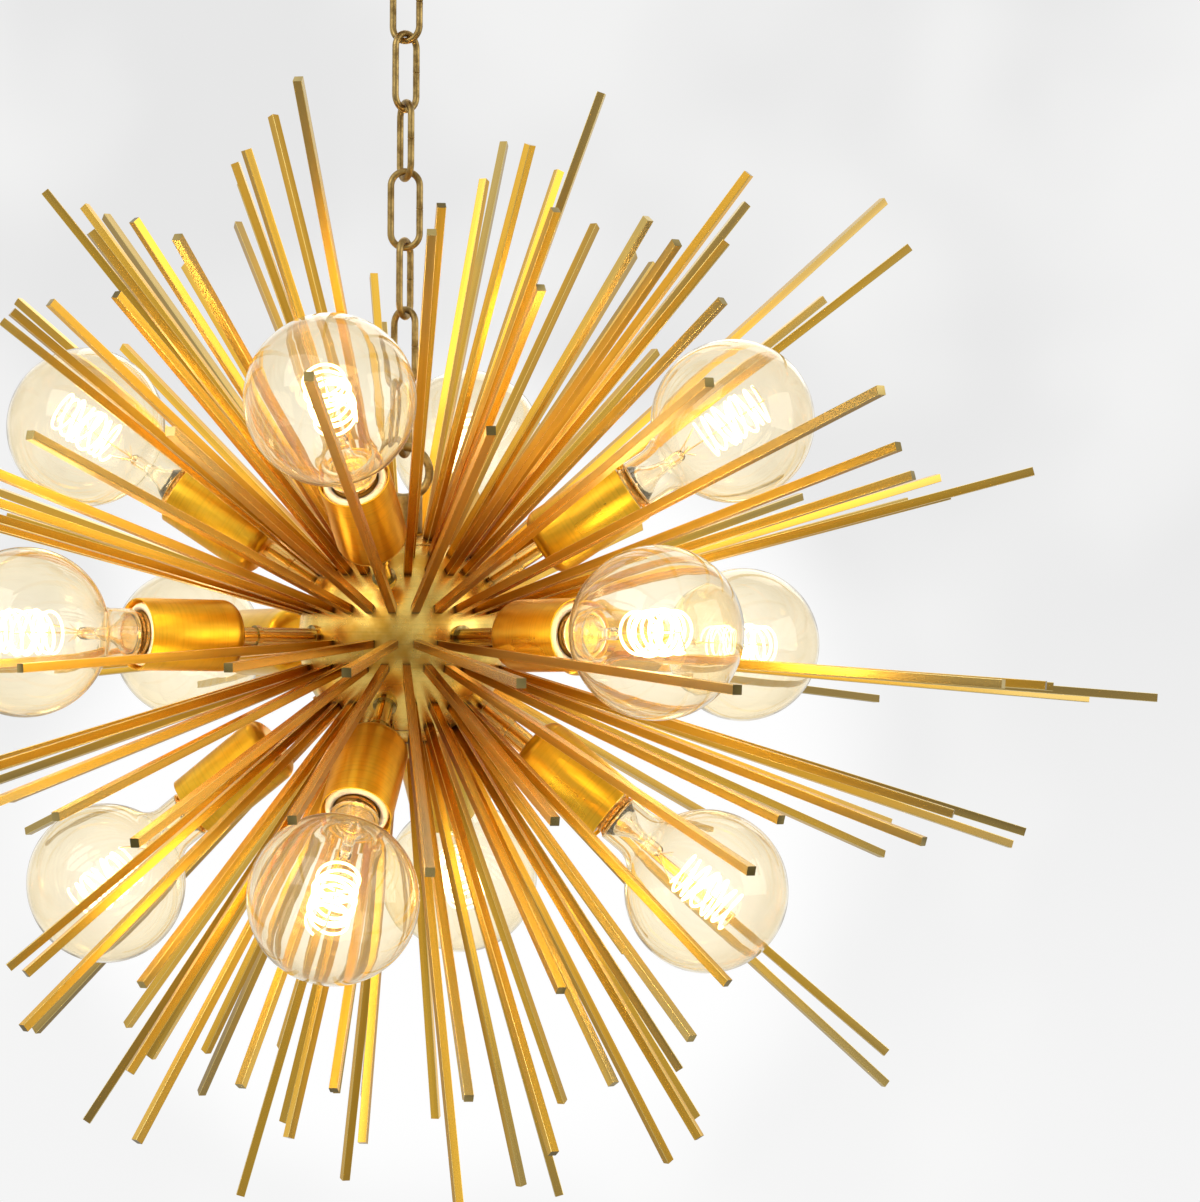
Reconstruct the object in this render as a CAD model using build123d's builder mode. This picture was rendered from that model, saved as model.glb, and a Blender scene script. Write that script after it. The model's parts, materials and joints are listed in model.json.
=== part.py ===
"""Sputnik chandelier.

A small brass ball hangs from the ceiling on an oval-link chain.  Square brass bars
stand out from the ball in nine rows, and twelve clear globe bulbs sit among them in
brass cups: four above, four around the middle and four below.

Frame: millimetres, +Z up, origin at the centre of the canopy's ceiling face, with
the front of the lamp toward -Y.
"""

import os
from math import atan2, cos, degrees, radians, sin, sqrt

from build123d import *

os.makedirs("parts", exist_ok=True)

# ---------------------------------------------------------------- driving sizes

# Ball
BALL_RADIUS = 61.5
BALL_WALL = 2.0
CAP_SEAM_HEIGHT = 54.0          # seam of the top and bottom caps, from the ball's centre
SEAM_GAP = 0.3
CAP_SPIGOT_DEPTH = 4.0
CAP_SPIGOT_WALL = 1.5
CAP_SPIGOT_OVERLAP = 0.5        # of a spigot with the cap that it carries

# Bars
BAR_SIDE = 5.0
BAR_EDGE_RADIUS = 0.35
BAR_ROOT = 55.0                 # the bars are drawn from here and trimmed on the ball
BAR_LENGTHS = {"A": 460.0, "B": 420.0, "C": 380.0, "D": 340.0, "E": 300.0}

# Each row: name, latitude, azimuth of its first place, then one letter per place at
# equal steps around the ball.  A letter is a length above, a dot an empty place.
BAR_ROWS = (
    ("bars_equator", -4, 8, "BA..CCCAA.AC.D.C.EECACA.E.ED"),
    ("bars_upper_1", 15, -6, "ACAACD.CDDBCEED.D.CEEACACDCC"),
    ("bars_upper_2", 38, 3, "DEDE..CDAEB.DAAED.EEEED."),
    ("bars_upper_3", 51, 6, "EEEDEDEDBECEDDEE.C"),
    ("bars_upper_4", 70, 8, ".EDEE.DEE."),
    ("bars_lower_1", -17, 2, "BDBDC.DCDBCAC.D.C.BDECACA.CDCD"),
    ("bars_lower_2", -40, 7, "CEDE..CBEE..AACC..EEDE.."),
    ("bars_lower_3", -57, 7, ".DEDEDCDDDEEEDEDEE"),
    ("bars_lower_4", -74, 21, "D.DDEDEDEE"),
)

# Lamps: ring name, latitude, azimuth of its first lamp, distance of the bulbs' centres
LAMPS_PER_RING = 4
LAMP_RINGS = (
    ("upper", 33, -12, 232.0),
    ("middle", 0, 33, 251.0),
    ("lower", -39, -12, 232.0),
)

# A lamp's own heights are measured outward from its bulb's centre.
CUP_RADIUS = 20.5
CUP_WALL = 1.0
CUP_ROUNDING = 8.0
CUP_CLOSED_END = -134.0
CUP_RIM = -71.0
HOLDER_RADIUS = 19.2
HOLDER_FOOT_RADIUS = 10.0
HOLDER_FLANGE_BACK = -105.0
HOLDER_FACE = -72.5
HOLDER_BORE_RADIUS = 13.7
HOLDER_BORE_BOTTOM = -97.0
STEM_RADIUS = 5.0
STEM_BORE_RADIUS = 3.6
STEM_FLANGE_RADIUS = 7.0
STEM_FLANGE_THICKNESS = 2.2
STEM_COLLAR_RADIUS = 6.2
STEM_COLLAR_BACK = -152.0
STEM_COLLAR_FRONT = -149.0

GLOBE_RADIUS = 47.5
GLASS_WALL = 1.0
NECK_RADIUS = 14.5
NECK_FLARE_RADIUS = 14.0
BASE_RADIUS = 13.1
BASE_WALL = 0.9
BASE_TIP = -92.5
BASE_RIM = -66.0
BASE_CONE_TOP = -85.0
BASE_CONTACT_RADIUS = 4.5
MOUNT_NECK_RADIUS = 3.4         # hollow glass foot that carries the filament
MOUNT_WAIST = -52.0
MOUNT_TOP = -34.0
MOUNT_WALL = 1.2

MAST_RADIUS = 1.0
FILAMENT_RADIUS = 13.4          # plain drum with the wound filament's outer shape
FILAMENT_HALF_HEIGHT = 20.5

# Chain
LINK_WIRE = 4.0
LINK_WIDTH = 21.0
LINK_PITCH = 40.75
LINK_GAP = 0.3                  # clearance where one link hangs in the next
LINK_TURNS = (-24, 44, 112, 0, 68, 136, 70)     # each link's plane about the vertical
RING_WIRE = 5.0
RING_RADIUS = 15.0              # of the hanging rings' wire centre line
CANOPY_RING_TURN = 45
BALL_RING_TURN = 0

# Canopy
CANOPY_RADIUS = 60.0
CANOPY_DEPTH = 30.0
CANOPY_WALL = 1.2
CANOPY_ROUNDING = 12.0
CROSSBAR_LENGTH = 104.0
CROSSBAR_WIDTH = 22.0
CROSSBAR_THICKNESS = 2.5
CEILING_SCREW_SPACING = 88.9
CEILING_SCREW_HOLE_RADIUS = 2.4
CANOPY_SCREW_SPACING = 60.0
CANOPY_SCREW_RADIUS = 2.0
CANOPY_SCREW_HEAD_RADIUS = 4.5
SHANK_RADIUS = 5.0              # threaded shanks through the canopy and the ball
SHANK_CLEARANCE = 0.2
SHANK_OVERLAP = 1.0             # of a shank with the collar that it is cast on
COLLAR_RADIUS = 11.0
COLLAR_ROUNDING = 1.5
CANOPY_COLLAR_HEIGHT = 10.0
CANOPY_SHANK_DROP = 1.0         # from the crossbar down to the shank's end
NUT_ACROSS_FLATS = 17.0
NUT_THICKNESS = 6.0
NUT_DROP = 7.0                  # from the ball's inner pole to a locknut's far face
BALL_SHANK_DEPTH = 12.0
FINIAL_RADIUS = 8.0
FINIAL_HEIGHT = 9.0
FINIAL_ROUNDING = 4.0

# ---------------------------------------------------------------- derived heights

RING_INNER_RADIUS = RING_RADIUS - RING_WIRE / 2
CANOPY_RING_CENTRE = -(CANOPY_DEPTH + CANOPY_COLLAR_HEIGHT) - RING_RADIUS + RING_WIRE / 4
LINK_REACH = LINK_PITCH + LINK_WIRE + LINK_GAP      # between the two bow centres
FIRST_BOW = CANOPY_RING_CENTRE - RING_INNER_RADIUS + LINK_GAP + LINK_WIRE / 2
LAST_BOW = FIRST_BOW - (len(LINK_TURNS) - 1) * LINK_PITCH - LINK_REACH
BALL_RING_CENTRE = LAST_BOW + LINK_WIRE / 2 + LINK_GAP - RING_INNER_RADIUS
BALL_RING_HEIGHT = 98.0                              # above the ball's centre
BALL_CENTRE = Vector(0, 0, BALL_RING_CENTRE - BALL_RING_HEIGHT)
BALL_TOP = BALL_CENTRE.Z + BALL_RADIUS
BALL_BOTTOM = BALL_CENTRE.Z - BALL_RADIUS
ROD_TOP = BALL_TOP - BALL_SHANK_DEPTH
ROD_BOTTOM = BALL_BOTTOM - FINIAL_HEIGHT / 2


# ---------------------------------------------------------------- helpers

def outward_plane(latitude, azimuth, distance):
    """Plane square to a radius of the ball; azimuth 0 faces the front, + is to +X."""
    lat, turn = radians(latitude), radians(azimuth)
    outward = Vector(cos(lat) * sin(turn), -cos(lat) * cos(turn), sin(lat))
    sideways = Vector(cos(turn), sin(turn), 0)
    return Plane(BALL_CENTRE + outward * distance, x_dir=sideways, z_dir=outward)


def ring_planes(latitude, first_azimuth, bulb_distance):
    """The four bulb-centre planes of one lamp ring."""
    step = 360 / LAMPS_PER_RING
    return [
        outward_plane(latitude, first_azimuth + step * place, bulb_distance)
        for place in range(LAMPS_PER_RING)
    ]


def save(builder, name):
    """Label a finished piece and write its file."""
    builder.part.label = name
    export_step(builder.part, f"parts/{name}.step")


# ---------------------------------------------------------------- canopy

with BuildPart() as canopy_dish:
    with BuildSketch(Plane.XZ):
        with BuildLine():
            Polyline(
                (SHANK_RADIUS + SHANK_CLEARANCE, -CANOPY_DEPTH),
                (CANOPY_RADIUS - CANOPY_ROUNDING, -CANOPY_DEPTH),
            )
            RadiusArc(
                (CANOPY_RADIUS - CANOPY_ROUNDING, -CANOPY_DEPTH),
                (CANOPY_RADIUS, -CANOPY_DEPTH + CANOPY_ROUNDING),
                -CANOPY_ROUNDING,
            )
            Polyline(
                (CANOPY_RADIUS, -CANOPY_DEPTH + CANOPY_ROUNDING),
                (CANOPY_RADIUS, 0),
                (CANOPY_RADIUS - CANOPY_WALL, 0),
                (CANOPY_RADIUS - CANOPY_WALL, -CANOPY_DEPTH + CANOPY_ROUNDING),
            )
            RadiusArc(
                (CANOPY_RADIUS - CANOPY_WALL, -CANOPY_DEPTH + CANOPY_ROUNDING),
                (CANOPY_RADIUS - CANOPY_ROUNDING, -CANOPY_DEPTH + CANOPY_WALL),
                CANOPY_ROUNDING - CANOPY_WALL,
            )
            Polyline(
                (CANOPY_RADIUS - CANOPY_ROUNDING, -CANOPY_DEPTH + CANOPY_WALL),
                (SHANK_RADIUS + SHANK_CLEARANCE, -CANOPY_DEPTH + CANOPY_WALL),
                (SHANK_RADIUS + SHANK_CLEARANCE, -CANOPY_DEPTH),
            )
        make_face()
    revolve(axis=Axis.Z)
    with Locations((0, 0, -CANOPY_DEPTH)):
        with GridLocations(0, CANOPY_SCREW_SPACING, 1, 2):
            Cylinder(CANOPY_SCREW_RADIUS + SHANK_CLEARANCE, CANOPY_WALL * 4, mode=Mode.SUBTRACT)
save(canopy_dish, "canopy_dish")

with BuildPart() as canopy_crossbar:
    with BuildSketch(Plane.XY):
        SlotOverall(CROSSBAR_LENGTH, CROSSBAR_WIDTH)
        SlotOverall(CANOPY_SCREW_SPACING + CROSSBAR_WIDTH, CROSSBAR_WIDTH, rotation=90)
        Circle(SHANK_RADIUS + SHANK_CLEARANCE, mode=Mode.SUBTRACT)
        with GridLocations(CEILING_SCREW_SPACING, 0, 2, 1):
            Circle(CEILING_SCREW_HOLE_RADIUS, mode=Mode.SUBTRACT)
        with GridLocations(0, CANOPY_SCREW_SPACING, 1, 2):
            Circle(CANOPY_SCREW_RADIUS + SHANK_CLEARANCE, mode=Mode.SUBTRACT)
    extrude(amount=-CROSSBAR_THICKNESS)
save(canopy_crossbar, "canopy_crossbar")

with BuildPart() as canopy_screws:
    with BuildSketch(Plane.XY):
        with GridLocations(0, CANOPY_SCREW_SPACING, 1, 2):
            Circle(CANOPY_SCREW_RADIUS)
    extrude(amount=-(CANOPY_DEPTH + CANOPY_WALL))
    with Locations((0, 0, -CANOPY_DEPTH)):
        with GridLocations(0, CANOPY_SCREW_SPACING, 1, 2):
            Sphere(
                CANOPY_SCREW_HEAD_RADIUS,
                arc_size1=-90,
                arc_size2=0,
                align=(Align.CENTER, Align.CENTER, Align.MAX),
            )
save(canopy_screws, "canopy_screws")


def hanging_ring(ring_centre, turn, collar_low, collar_high, shank_low, shank_high):
    """One cast piece: a ring of round wire on a turned collar with a threaded shank."""
    with BuildPart() as piece:
        with BuildSketch(Plane.XY.offset(collar_low)):
            Circle(COLLAR_RADIUS)
        extrude(amount=collar_high - collar_low)
        fillet(piece.edges(), radius=COLLAR_ROUNDING)
        with BuildSketch(Plane.XY.offset(shank_low)):
            Circle(SHANK_RADIUS)
        extrude(amount=shank_high - shank_low)
        across = (-sin(radians(turn)), cos(radians(turn)), 0)
        with Locations(Plane((0, 0, ring_centre), z_dir=across)):
            Torus(RING_RADIUS, RING_WIRE / 2)
    return piece


canopy_loop = hanging_ring(
    CANOPY_RING_CENTRE,
    CANOPY_RING_TURN,
    -CANOPY_DEPTH - CANOPY_COLLAR_HEIGHT,
    -CANOPY_DEPTH,
    -CANOPY_DEPTH - SHANK_OVERLAP,
    -CROSSBAR_THICKNESS - CANOPY_SHANK_DROP,
)
save(canopy_loop, "canopy_loop")

with BuildPart() as canopy_locknut:
    with BuildSketch(Plane.XY.offset(-CANOPY_DEPTH + CANOPY_WALL)):
        RegularPolygon(NUT_ACROSS_FLATS / 2, 6, major_radius=False)
        Circle(SHANK_RADIUS + SHANK_CLEARANCE, mode=Mode.SUBTRACT)
    extrude(amount=NUT_THICKNESS)
save(canopy_locknut, "canopy_locknut")

# ---------------------------------------------------------------- chain


def chain_link(top_bow, turn):
    """An oval link of round wire, its two bows' wire centres LINK_REACH apart."""
    bow_radius = (LINK_WIDTH - LINK_WIRE) / 2
    middle = top_bow - LINK_REACH / 2
    straight = LINK_REACH / 2 - bow_radius
    wide = Vector(cos(radians(turn)), sin(radians(turn)), 0)
    facing = Plane((0, 0, middle), x_dir=wide, z_dir=wide.cross(Vector(0, 0, 1)))
    with BuildPart() as link:
        with BuildLine(facing):
            Line((bow_radius, -straight), (bow_radius, straight))
            CenterArc((0, straight), bow_radius, 0, 180)
            Line((-bow_radius, straight), (-bow_radius, -straight))
            CenterArc((0, -straight), bow_radius, 180, 180)
        start = facing.from_local_coords(Vector(bow_radius, -straight, 0))
        with BuildSketch(Plane(start, x_dir=wide, z_dir=(0, 0, 1))):
            Circle(LINK_WIRE / 2)
        sweep()
    return link


for number, turn in enumerate(LINK_TURNS, start=1):
    save(chain_link(FIRST_BOW - (number - 1) * LINK_PITCH, turn), f"chain_link_{number}")

# ---------------------------------------------------------------- ball

ball_loop = hanging_ring(
    BALL_RING_CENTRE,
    BALL_RING_TURN,
    BALL_TOP,
    BALL_RING_CENTRE - RING_RADIUS + RING_WIRE / 4,
    ROD_TOP,
    BALL_TOP + SHANK_OVERLAP,
)
save(ball_loop, "ball_loop")

with BuildPart() as ball_shell:
    with Locations(BALL_CENTRE):
        Sphere(BALL_RADIUS)
        Sphere(BALL_RADIUS - BALL_WALL, mode=Mode.SUBTRACT)
    split(bisect_by=Plane.XY.offset(BALL_CENTRE.Z + CAP_SEAM_HEIGHT), keep=Keep.BOTTOM)
    split(bisect_by=Plane.XY.offset(BALL_CENTRE.Z - CAP_SEAM_HEIGHT), keep=Keep.TOP)
save(ball_shell, "ball_shell")

with BuildPart() as ball_caps:
    opening_radius = sqrt((BALL_RADIUS - BALL_WALL) ** 2 - CAP_SEAM_HEIGHT**2)
    for side in (1, -1):
        seam = Plane(BALL_CENTRE + Vector(0, 0, side * CAP_SEAM_HEIGHT), z_dir=(0, 0, side))
        with BuildSketch(seam.offset(SEAM_GAP)):
            Circle(BALL_RADIUS)
        extrude(amount=BALL_RADIUS)
    with Locations(BALL_CENTRE):
        Sphere(BALL_RADIUS, mode=Mode.INTERSECT)
        Sphere(BALL_RADIUS - BALL_WALL, mode=Mode.SUBTRACT)
    for side in (1, -1):
        seam = Plane(BALL_CENTRE + Vector(0, 0, side * CAP_SEAM_HEIGHT), z_dir=(0, 0, side))
        with BuildSketch(seam.offset(-CAP_SPIGOT_DEPTH)):
            Circle(opening_radius - SEAM_GAP)
            Circle(opening_radius - SEAM_GAP - CAP_SPIGOT_WALL, mode=Mode.SUBTRACT)
        extrude(amount=CAP_SPIGOT_DEPTH + SEAM_GAP + CAP_SPIGOT_OVERLAP)
    with Locations(BALL_CENTRE):
        Cylinder(SHANK_RADIUS + SHANK_CLEARANCE, BALL_RADIUS * 3, mode=Mode.SUBTRACT)
save(ball_caps, "ball_caps")

with BuildPart() as centre_rod:
    with BuildSketch(Plane.XY.offset(ROD_BOTTOM)):
        Circle(SHANK_RADIUS)
    extrude(amount=ROD_TOP - ROD_BOTTOM)
save(centre_rod, "centre_rod")

with BuildPart() as rod_locknuts:
    for side in (1, -1):
        inner_face = Plane(
            BALL_CENTRE + Vector(0, 0, side * (BALL_RADIUS - BALL_WALL - NUT_DROP)),
            z_dir=(0, 0, side),
        )
        with BuildSketch(inner_face):
            RegularPolygon(NUT_ACROSS_FLATS / 2, 6, major_radius=False)
            Circle(SHANK_RADIUS + SHANK_CLEARANCE, mode=Mode.SUBTRACT)
        extrude(amount=NUT_THICKNESS)
save(rod_locknuts, "rod_locknuts")

with BuildPart() as bottom_finial:
    with BuildSketch(Plane.XY.offset(BALL_BOTTOM)):
        Circle(FINIAL_RADIUS)
    extrude(amount=-FINIAL_HEIGHT)
    fillet(bottom_finial.edges().sort_by(Axis.Z)[0], radius=FINIAL_ROUNDING)
    with BuildSketch(Plane.XY.offset(BALL_BOTTOM)):
        Circle(SHANK_RADIUS + SHANK_CLEARANCE)
    extrude(amount=-FINIAL_HEIGHT / 2, mode=Mode.SUBTRACT)
save(bottom_finial, "bottom_finial")

# ---------------------------------------------------------------- bars


def bar_row(latitude, first_azimuth, places):
    """One row of square bars, their inner ends trimmed to the ball."""
    step = 360 / len(places)
    with BuildPart() as row:
        for letter, tip_distance in BAR_LENGTHS.items():
            planes = [
                outward_plane(latitude, first_azimuth + step * place, BAR_ROOT)
                for place, kind in enumerate(places)
                if kind == letter
            ]
            if planes:
                with BuildSketch(*planes):
                    RectangleRounded(BAR_SIDE, BAR_SIDE, BAR_EDGE_RADIUS)
                extrude(amount=tip_distance - BAR_ROOT)
        with Locations(BALL_CENTRE):
            Sphere(BALL_RADIUS, mode=Mode.SUBTRACT)
    return row


for name, latitude, first_azimuth, places in BAR_ROWS:
    save(bar_row(latitude, first_azimuth, places), name)

# ---------------------------------------------------------------- lamps

with BuildPart() as cup:
    with BuildSketch(Plane.XZ):
        with BuildLine():
            Line((STEM_BORE_RADIUS, CUP_CLOSED_END), (CUP_RADIUS - CUP_ROUNDING, CUP_CLOSED_END))
            RadiusArc(
                (CUP_RADIUS - CUP_ROUNDING, CUP_CLOSED_END),
                (CUP_RADIUS, CUP_CLOSED_END + CUP_ROUNDING),
                -CUP_ROUNDING,
            )
            Polyline(
                (CUP_RADIUS, CUP_CLOSED_END + CUP_ROUNDING),
                (CUP_RADIUS, CUP_RIM),
                (CUP_RADIUS - CUP_WALL, CUP_RIM),
                (CUP_RADIUS - CUP_WALL, CUP_CLOSED_END + CUP_ROUNDING),
            )
            RadiusArc(
                (CUP_RADIUS - CUP_WALL, CUP_CLOSED_END + CUP_ROUNDING),
                (CUP_RADIUS - CUP_ROUNDING, CUP_CLOSED_END + CUP_WALL),
                CUP_ROUNDING - CUP_WALL,
            )
            Polyline(
                (CUP_RADIUS - CUP_ROUNDING, CUP_CLOSED_END + CUP_WALL),
                (STEM_BORE_RADIUS, CUP_CLOSED_END + CUP_WALL),
                (STEM_BORE_RADIUS, CUP_CLOSED_END),
            )
        make_face()
    revolve(axis=Axis.Z)

with BuildPart() as lampholder:
    with BuildSketch(Plane.XZ):
        with BuildLine():
            Polyline(
                (STEM_BORE_RADIUS, CUP_CLOSED_END + CUP_WALL),
                (HOLDER_FOOT_RADIUS, CUP_CLOSED_END + CUP_WALL),
                (HOLDER_FOOT_RADIUS, HOLDER_FLANGE_BACK),
                (HOLDER_RADIUS, HOLDER_FLANGE_BACK),
                (HOLDER_RADIUS, HOLDER_FACE),
                (HOLDER_BORE_RADIUS, HOLDER_FACE),
                (HOLDER_BORE_RADIUS, HOLDER_BORE_BOTTOM),
                (STEM_BORE_RADIUS, HOLDER_BORE_BOTTOM),
                close=True,
            )
        make_face()
    revolve(axis=Axis.Z)


def lamp_stem(bulb_distance):
    """Tube from the ball to a cup's closed end, with a flange on the ball and a collar."""
    foot = BAR_ROOT - bulb_distance
    flange_top = BALL_RADIUS + STEM_FLANGE_THICKNESS - bulb_distance
    with BuildPart() as stem:
        with BuildSketch(Plane.XZ):
            with BuildLine():
                Polyline(
                    (STEM_BORE_RADIUS, foot),
                    (STEM_FLANGE_RADIUS, foot),
                    (STEM_FLANGE_RADIUS, flange_top),
                    (STEM_RADIUS, flange_top),
                    (STEM_RADIUS, STEM_COLLAR_BACK),
                    (STEM_COLLAR_RADIUS, STEM_COLLAR_BACK),
                    (STEM_COLLAR_RADIUS, STEM_COLLAR_FRONT),
                    (STEM_RADIUS, STEM_COLLAR_FRONT),
                    (STEM_RADIUS, CUP_CLOSED_END),
                    (STEM_BORE_RADIUS, CUP_CLOSED_END),
                    close=True,
                )
            make_face()
        revolve(axis=Axis.Z)
        with Locations((0, 0, -bulb_distance)):
            Sphere(BALL_RADIUS, mode=Mode.SUBTRACT)
    return stem


# The neck's flare is an arc that touches both the neck and the globe.
FLARE_CENTRE_RADIUS = NECK_RADIUS + NECK_FLARE_RADIUS
FLARE_CENTRE_HEIGHT = -sqrt((GLOBE_RADIUS + NECK_FLARE_RADIUS) ** 2 - FLARE_CENTRE_RADIUS**2)
FLARE_END = degrees(atan2(FLARE_CENTRE_HEIGHT, FLARE_CENTRE_RADIUS))


def glass_outline(inset):
    """Half outline of the bulb, from the neck's end to the globe's top."""
    flare_centre = (FLARE_CENTRE_RADIUS, FLARE_CENTRE_HEIGHT)
    Line((NECK_RADIUS - inset, BASE_RIM), (NECK_RADIUS - inset, FLARE_CENTRE_HEIGHT))
    CenterArc(flare_centre, NECK_FLARE_RADIUS + inset, 180, FLARE_END)
    CenterArc((0, 0), GLOBE_RADIUS - inset, FLARE_END, 90 - FLARE_END)


with BuildPart() as globe:
    with BuildSketch(Plane.XZ):
        with BuildLine():
            glass_outline(0)
            Line((0, GLOBE_RADIUS), (0, GLOBE_RADIUS - GLASS_WALL))
            glass_outline(GLASS_WALL)
            Line((NECK_RADIUS - GLASS_WALL, BASE_RIM), (NECK_RADIUS, BASE_RIM))
        make_face()
    revolve(axis=Axis.Z)


with BuildPart() as bulb_base:
    with BuildSketch(Plane.XZ):
        with BuildLine():
            Polyline(
                (0, BASE_TIP),
                (BASE_CONTACT_RADIUS, BASE_TIP),
                (BASE_RADIUS, BASE_CONE_TOP),
                (BASE_RADIUS, BASE_RIM - BASE_WALL),
                (NECK_RADIUS, BASE_RIM - BASE_WALL),
                (NECK_RADIUS, BASE_RIM),
                (BASE_RADIUS - BASE_WALL, BASE_RIM),
                (BASE_RADIUS - BASE_WALL, BASE_CONE_TOP + BASE_WALL),
                (BASE_CONTACT_RADIUS, BASE_TIP + BASE_WALL),
                (0, BASE_TIP + BASE_WALL),
                close=True,
            )
        make_face()
        with BuildLine():
            Polyline(
                (BASE_RADIUS - BASE_WALL, BASE_RIM),
                (MOUNT_NECK_RADIUS, MOUNT_WAIST),
                (MOUNT_NECK_RADIUS, MOUNT_TOP),
                (0, MOUNT_TOP),
                (0, MOUNT_TOP - MOUNT_WALL),
                (MOUNT_NECK_RADIUS - MOUNT_WALL, MOUNT_TOP - MOUNT_WALL),
                (MOUNT_NECK_RADIUS - MOUNT_WALL, MOUNT_WAIST),
                (BASE_RADIUS - BASE_WALL, BASE_RIM - 2 * MOUNT_WALL),
                close=True,
            )
        make_face()
        with Locations((0, MOUNT_TOP - MOUNT_WALL / 2)):
            Rectangle(
                MAST_RADIUS,
                -FILAMENT_HALF_HEIGHT - MOUNT_TOP + MOUNT_WALL,
                align=(Align.MIN, Align.MIN),
            )
        Rectangle(
            FILAMENT_RADIUS,
            2 * FILAMENT_HALF_HEIGHT,
            align=(Align.MIN, Align.CENTER),
        )
    revolve(axis=Axis.Z)

for ring_name, latitude, first_azimuth, bulb_distance in LAMP_RINGS:
    bulb_planes = ring_planes(latitude, first_azimuth, bulb_distance)
    fixed_pieces = (
        ("socket_stems", lamp_stem(bulb_distance)),
        ("socket_cups", cup),
        ("lampholders", lampholder),
    )
    for piece_name, piece in fixed_pieces:
        with BuildPart() as ring_of_pieces:
            with Locations(*bulb_planes):
                add(piece.part)
        save(ring_of_pieces, f"{piece_name}_{ring_name}")
    for number, bulb_plane in enumerate(bulb_planes, start=1):
        for piece_name, piece in (("glass", globe), ("base", bulb_base)):
            with BuildPart() as placed_piece:
                with Locations(bulb_plane):
                    add(piece.part)
            save(placed_piece, f"bulb_{ring_name}_{number}_{piece_name}")
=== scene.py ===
"""Sputnik chandelier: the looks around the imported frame.

Every size is in metres.  A lamp's own pieces are made in the lamp's frame, with the
origin at its bulb's centre and +Z pointing away from the ball, and then placed.
"""

import json
from math import acos, asin, atan2, cos, degrees, exp, pi, radians, sin, sqrt, tau

import bmesh
import bpy
from mathutils import Matrix, Vector

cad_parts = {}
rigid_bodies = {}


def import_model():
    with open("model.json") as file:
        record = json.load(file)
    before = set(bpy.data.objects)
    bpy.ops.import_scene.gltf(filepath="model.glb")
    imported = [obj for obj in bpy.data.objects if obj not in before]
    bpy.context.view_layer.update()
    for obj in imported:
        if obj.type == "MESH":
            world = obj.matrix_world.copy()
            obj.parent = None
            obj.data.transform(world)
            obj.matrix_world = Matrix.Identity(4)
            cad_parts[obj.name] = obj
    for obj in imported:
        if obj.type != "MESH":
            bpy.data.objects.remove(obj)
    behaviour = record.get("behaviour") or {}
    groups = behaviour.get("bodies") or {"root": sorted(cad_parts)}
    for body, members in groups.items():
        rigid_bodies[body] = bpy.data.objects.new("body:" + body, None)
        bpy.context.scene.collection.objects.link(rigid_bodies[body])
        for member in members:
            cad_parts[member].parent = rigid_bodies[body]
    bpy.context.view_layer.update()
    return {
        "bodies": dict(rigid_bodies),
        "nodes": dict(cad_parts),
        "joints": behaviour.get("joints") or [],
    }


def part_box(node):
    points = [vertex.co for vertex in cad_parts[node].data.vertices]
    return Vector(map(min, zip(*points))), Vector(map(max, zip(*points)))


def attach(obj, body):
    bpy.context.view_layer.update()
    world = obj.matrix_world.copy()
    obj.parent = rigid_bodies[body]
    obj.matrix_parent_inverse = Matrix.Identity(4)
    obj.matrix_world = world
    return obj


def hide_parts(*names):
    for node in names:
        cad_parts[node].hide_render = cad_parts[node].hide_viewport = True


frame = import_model()

MM = 0.001

# ---------------------------------------------------------------- sizes

# Camera, from the photograph: where the ball's centre lies in it, and the lens.
PHOTO_WIDTH, PHOTO_HEIGHT = 1200, 1202
BALL_PIXEL = (403.0, 638.7)
FOCAL_PIXELS = 4292.0
CAMERA_DISTANCE = 2.525
CAMERA_TILT = radians(1.06)
CAMERA_ROLL = radians(0.3)
SENSOR_WIDTH = 36.0

BALL_RADIUS = 61.5 * MM
BALL_WALL = 2.0 * MM
SEAM_HEIGHT = 54.0 * MM
SEAM_GAP = 0.3 * MM
SEAM_EASE = 0.5 * MM
SHANK_HOLE_RADIUS = 5.2 * MM

CUP_RADIUS = 20.5 * MM
CUP_WALL = 1.0 * MM
CUP_ROUNDING = 8.0 * MM
CUP_CLOSED_END = -134.0 * MM
CUP_RIM = -71.0 * MM
HOLDER_RADIUS = 19.2 * MM
HOLDER_FACE = -72.5 * MM
HOLDER_BACK = -105.0 * MM
HOLDER_FOOT_RADIUS = 10.0 * MM
HOLDER_STEP = 1.0 * MM
HOLDER_RIM_DEPTH = 8.0 * MM
HOLDER_BORE = 13.7 * MM
HOLDER_BORE_BOTTOM = -97.0 * MM
STEM_BORE = 3.6 * MM

GLOBE_RADIUS = 47.5 * MM
GLASS_WALL = 1.0 * MM
NECK_RADIUS = 14.5 * MM
NECK_FLARE = 14.0 * MM
NECK_END = -66.0 * MM
CAP_RADIUS = 13.1 * MM
CAP_CONE_TOP = -85.0 * MM
CAP_TIP = -92.5 * MM
CAP_CONTACT = 4.5 * MM
CONTACT_HEIGHT = 1.2 * MM
THREAD_PITCH = 3.6 * MM
THREAD_DEPTH = 0.55 * MM
FOOT_TOP = -34.0 * MM
FOOT_NECK = 3.2 * MM

FILAMENT_RADIUS = 12.8 * MM
FILAMENT_WIRE = 0.85 * MM
FILAMENT_TURNS = 8
FILAMENT_PITCH = 5.0 * MM
LOOP_TILT = 2.2 * MM

BULB_TURN = radians(73)
BULB_WATTS = 0.6
BULB_LIGHT = (1.0, 0.78, 0.42)
BULB_LIGHT_SIZE = 12.0 * MM

LINK_WIRE = 2.0 * MM
LINK_WIDTH = 21.0 * MM

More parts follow.
